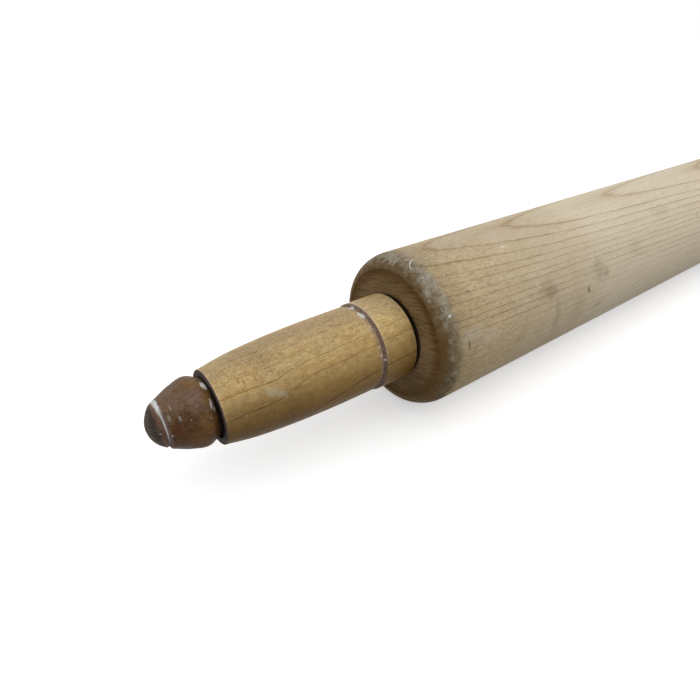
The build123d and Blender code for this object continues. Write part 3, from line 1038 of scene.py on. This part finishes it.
def button_outline(worn_off):
    """The near button's nose is worn shorter than the other's by so many millimetres."""
    base, tip, widest = button_base / MM, button_stop / MM - worn_off, button_radius / MM
    shoulder = ((WIDEST + RING_START) / 2, widest - 0.33 * (widest - RING_RADIUS))
    body = curve_through([(BACK, BACK_RADIUS), (WIDEST, widest), shoulder, (RING_START, RING_RADIUS)], 16)
    lip, reach_out = base + INSERT_LIP_DEPTH, tip - RING_STOP
    rows = [(INSERT_STOP, 0.0), (INSERT_STOP, INSERT_RADIUS), (lip, INSERT_RADIUS), (lip, INSERT_LIP)]
    rows += [(base, INSERT_LIP), (base, NECK), (BACK, NECK), (BACK, BACK_RADIUS, 0.2, 0.2), *body[3:-1]]
    rows += [(RING_START, RING_RADIUS, 0.2, 0.2), (RING_START + 0.7, RING_FLOOR, 0.2, 0.15)]
    ball = (NOSE_RADIUS**2 + reach_out**2) / (2 * reach_out)
    for angle in np.linspace(math.atan2(NOSE_RADIUS, ball - reach_out), 0.0, 20):
        rows.append((tip - ball + ball * math.cos(angle), ball * math.sin(angle)))
    return worn_outline(rows)


def fill_ring(places):
    """Fills the ring where old paint covers it, and rounds the wood there into the nose."""
    station = (np.abs(places[:, 0]) - barrel_end) / MM
    radius = np.hypot(places[:, 1], places[:, 2])
    angle = np.degrees(np.arctan2(places[:, 2], places[:, 1]))
    covered = np.clip((FILLED_HALF - np.abs(angle - FILLED_MIDDLE)) / FILLED_FADE, 0.0, 1.0)
    filled = np.interp(station, FILLED_STATIONS, FILLED_RADII) * MM
    growth = 1.0 + covered * (np.maximum(radius, filled) / np.maximum(radius, 0.1 * MM) - 1.0)
    places[:, 1:] *= growth[:, None]
    print(f"ring filled by up to {(radius * (growth - 1.0)).max() / MM:.2f} mm")


def shift_outside(places):
    """Moves everything but the hole for the insert, because the hole was bored off the button's middle."""
    station = np.abs(places[:, 0]) - barrel_end
    hole = (station < HOLE_STOP) & (np.hypot(places[:, 1], places[:, 2]) < HOLE_RADIUS)
    places[~hole, 1:] += np.array(NEAR_CENTRE) * MM
    print(f"outside moved {np.hypot(*NEAR_CENTRE):.2f} mm off the middle")


ENDS = ((-1, "left", near_button_wood, 61, 0.4), (1, "right", far_button_wood, 73, 0.0))
for side, label, wood, seed, worn_off in ENDS:
    piece = turn(label + "_button", mirrored(button_outline(worn_off), side), wood, 256, 0.1 * MM, seed)
    if side < 0:
        points = piece.data.vertices
        places = np.empty(3 * len(points))
        points.foreach_get("co", places)
        places = places.reshape(-1, 3)
        fill_ring(places)
        shift_outside(places)
        points.foreach_set("co", places.ravel())
        piece.data.update()
    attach(piece, "axle")
    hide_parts(label + "_end_button")

# %% [markdown]
# ## The metal parts
#
# The rod, bushes, washers and inserts are almost hidden, and the packed model already has their shapes.
# They only need a finish: ground steel and dull brass. Both came off a lathe, so the fine marks run
# round the axis. They follow from the station and the radius alone.

# %% Steel and brass


def metal_finish(name, bright, dull, seed, roughness):
    finish = Finish(name)
    pin = Pin(finish, -1, seed, girth=5.0)
    cut = finish.noise_at(pin.x * 9.0, pin.radius * 9.0, seed)
    tarnish = finish.noise(0.25, 4, 0.6, seed)
    colour = finish.mix(tarnish.ramp(0.45, 0.7), bright, dull)
    rough = roughness + tarnish.ramp(0.4, 0.7) * 0.25 + (cut - 0.5) * 0.15
    return finish.surface(colour, rough, cut, 0.02 * MM, Metallic=1.0)


steel = metal_finish("rod_steel", (0.5, 0.5, 0.51), (0.22, 0.19, 0.17), 80.0, 0.28)
brass = metal_finish("bush_brass", (0.62, 0.45, 0.19), (0.24, 0.17, 0.09), 85.0, 0.34)
METAL = {"axle_rod": steel}
for end in ("left_", "right_"):
    METAL.update({end + "end_washer": steel, end + "barrel_bush": brass, end + "button_insert": brass})
for name, metal in METAL.items():
    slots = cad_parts[name].material_slots
    for slot in slots:
        slot.material = metal
    print(name, "has", metal.name, "in", len(slots), "slot")

# %% [markdown]
# ## Floor, light and camera
#
# The pin lies on its barrel on a plain pale floor. To the camera, and in reflections, the floor is white,
# but it keeps the pin's soft shadow. To light that only bounces it is darker, as the wood's underside is
# quite dark. The light is soft and comes from above, more from the far side than from the near end.

# %% Floor
floor_mesh = bpy.data.meshes.new("floor")
WHITE, REACH, BELOW = (1.0, 1.0, 1.0, 1.0), 6.0, 0.02 * MM
corners = [(-REACH, -REACH), (REACH, -REACH), (REACH, REACH), (-REACH, REACH)]
floor_mesh.from_pydata([(x, y, floor_height - BELOW) for x, y in corners], [], [(0, 1, 2, 3)])
floor = bpy.data.objects.new("floor", floor_mesh)
show(floor)


def seen_or_mirrored(tree):
    """1 for rays from the camera and for reflections and refractions, 0 for bounced light."""
    total = rays = tree.node("ShaderNodeLightPath", output="Is Camera Ray")
    for name in ("Is Glossy Ray", "Is Transmission Ray"):
        total = total.maths("MAXIMUM", rays.output(name))
    return total


def floor_finish():
    finish = Finish("floor")
    dim = finish.node("ShaderNodeBsdfDiffuse", None, {"Color": (0.16, 0.15, 0.14, 1.0)})
    pale = finish.node("ShaderNodeBsdfDiffuse", None, {"Color": (0.8, 0.8, 0.8, 1.0)})
    glow = finish.node("ShaderNodeEmission", None, {"Color": WHITE, "Strength": 0.45})
    seen = finish.node("ShaderNodeAddShader", None, {0: pale, 1: glow})
    both = finish.node("ShaderNodeMixShader", None, {0: seen_or_mirrored(finish), 1: dim, 2: seen})
    finish.node("ShaderNodeOutputMaterial", None, {"Surface": both})
    return finish.material


floor_mesh.materials.append(floor_finish())
print("floor", 2 * REACH, "m across")

# %% [markdown]
# The sky is one even white, as in a light tent, with a single wide sun above for a soft direction. A real
# studio picture would work as a sky too, but plain values keep the lighting easy to change. What the
# camera sees of the sky is pure white, and the wood is lit by a slightly dimmer one.

# %% Sky and lamps
world = bpy.data.worlds.new("studio")
bpy.context.scene.world = world
world.use_nodes = True
sky = Tree(world.node_tree)
lit = sky.node("ShaderNodeBackground", None, {"Color": WHITE, "Strength": 0.8})
shown = sky.node("ShaderNodeBackground", None, {"Color": WHITE, "Strength": 1.0})
both = sky.node("ShaderNodeMixShader", None, {0: seen_or_mirrored(sky), 1: lit, 2: shown})
sky.node("ShaderNodeOutputWorld", None, {"Surface": both})


def soft_sun(name, direction, strength, spread):
    """A wide, even light from one side of the sky. Its spread is the angle that it fills, in degrees."""
    sun = bpy.data.lights.new(name, "SUN")
    sun.energy = strength
    sun.angle = math.radians(spread)
    holder = bpy.data.objects.new(name, sun)
    show(holder)
    holder.matrix_world = Vector(direction).normalized().to_track_quat("Z", "Y").to_matrix().to_4x4()
    return holder


soft_sun("overhead", (0.45, -0.35, 0.82), 0.75, 70)
bpy.context.scene.view_settings.view_transform = "Standard"
print("suns:", len(bpy.data.lights))

# %% [markdown]
# The camera looks down past the near button, along the pin. It was placed by fitting it to the turned rings
# in the photograph, and its lens is wide, like that of a phone held close.

# %% Camera
CAMERA_PLACE = Vector((-0.31865, -0.14224, 0.11524))
CAMERA_FORWARD = Vector((0.50104, 0.67335, -0.54377)).normalized()
CAMERA_RIGHT = Vector((0.8023, -0.5971, 0.0)).normalized()
camera_up = CAMERA_RIGHT.cross(CAMERA_FORWARD).normalized()
camera = bpy.data.objects.new("camera", bpy.data.cameras.new("camera"))
camera.data.lens = 26.0
camera.data.sensor_width = 36.0
camera.data.clip_start = 0.01
turned = Matrix((CAMERA_RIGHT, camera_up, -CAMERA_FORWARD)).transposed()
camera.matrix_world = Matrix.LocRotScale(CAMERA_PLACE, turned.to_quaternion(), None)
show(camera)
bpy.context.scene.camera = camera
print("camera at", tuple(round(value, 3) for value in CAMERA_PLACE))

# %% [markdown]
# ## Sizes and the end
#
# The looks must not change the size of the object.
